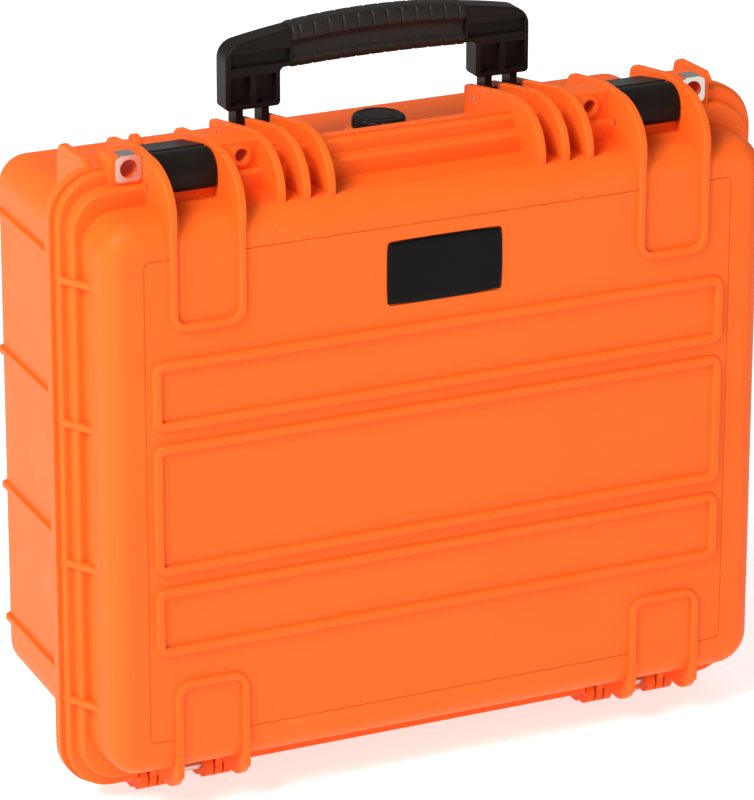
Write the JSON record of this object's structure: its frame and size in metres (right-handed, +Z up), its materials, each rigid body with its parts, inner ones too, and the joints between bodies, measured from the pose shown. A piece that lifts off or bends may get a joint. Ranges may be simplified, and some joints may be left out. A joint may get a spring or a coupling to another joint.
{
  "type": "hard equipment case",
  "caption": "Waterproof hard plastic equipment case with a hinged ribbed lid, over-top latches, a folding carry handle, padlock eyelets and a pressure valve.",
  "frame": {"origin": "middle of the footprint, on the floor under the runners, with the case standing on its hinge side", "axes": "+Z up towards the handle, -Y out of the lid, +X to the right when facing the lid"},
  "size_m": [0.52, 0.22, 0.5203],
  "materials": {
    "shell_plastic": "orange injection-moulded polypropylene, fine matt texture",
    "black_plastic": "black glass-filled nylon, satin moulding texture",
    "grip_rubber": "overmoulded soft black rubber",
    "seal_rubber": "black neoprene seal",
    "gloss_plate": "black plate under a clear domed resin",
    "membrane": "white breathable membrane",
    "steel": "bright stainless steel"
  },
  "bodies": {
    "base": {"base_shell": "shell_plastic", "hinge_pin_left": "steel", "hinge_pin_right": "steel", "handle_pin_left": "steel", "handle_pin_right": "steel", "valve_body": "black_plastic", "valve_o_ring": "seal_rubber", "valve_membrane": "membrane", "valve_nut": "black_plastic"},
    "lid": {"lid_shell": "shell_plastic", "lid_gasket": "seal_rubber", "nameplate": "gloss_plate", "latch_pin_left": "steel", "latch_pin_right": "steel", "padlock_plate_left": "steel", "padlock_plate_right": "steel"},
    "latch_left": {"latch_lever_left": "black_plastic"},
    "latch_right": {"latch_lever_right": "black_plastic"},
    "handle": {"handle_frame": "black_plastic", "handle_grip": "grip_rubber"},
    "knob": {"valve_knob": "black_plastic"}
  },
  "joints": [
    {"name": "lid_hinge", "type": "hinge", "parent": "base", "child": "lid", "pos_m": [0, -0.051, 0.012], "axis": [1, 0, 0], "range_deg": [0, 105]},
    {"name": "latch_left_lift", "type": "hinge", "parent": "lid", "child": "latch_left", "pos_m": [-0.17175, -0.071, 0.4405], "axis": [1, 0, 0], "range_deg": [0, 105]},
    {"name": "latch_right_lift", "type": "hinge", "parent": "lid", "child": "latch_right", "pos_m": [0.17175, -0.071, 0.4405], "axis": [1, 0, 0], "range_deg": [0, 105]},
    {"name": "handle_swing", "type": "hinge", "parent": "base", "child": "handle", "pos_m": [0, 0.005, 0.445], "axis": [1, 0, 0], "range_deg": [-90, 20]},
    {"name": "valve_turn", "type": "hinge", "parent": "base", "child": "knob", "pos_m": [0, -0.002, 0.44], "axis": [0, 0, 1], "range_deg": [0, 180]}
  ]
}
